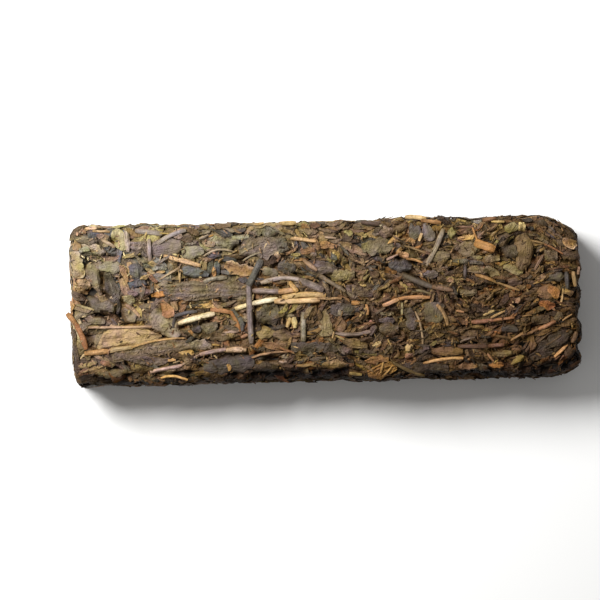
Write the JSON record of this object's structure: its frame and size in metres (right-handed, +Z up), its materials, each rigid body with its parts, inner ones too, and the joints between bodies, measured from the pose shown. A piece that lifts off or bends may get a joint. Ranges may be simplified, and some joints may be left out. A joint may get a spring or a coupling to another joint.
{
  "type": "pressed tea brick",
  "caption": "Slim bar of dark tea leaves and stalks pressed into one block, broken up to brew tea.",
  "frame": {"origin": "under the middle of the bar's outline, on the surface that it lies on", "axes": "+X along the bar, +Y across it, +Z up out of its shown face"},
  "size_m": [0.1177, 0.0372, 0.015],
  "materials": {
    "pressed_leaves": "dry matt leaf, darker in the gaps"
  },
  "bodies": {
    "root": {"tea_brick": "pressed_leaves"}
  },
  "joints": []
}
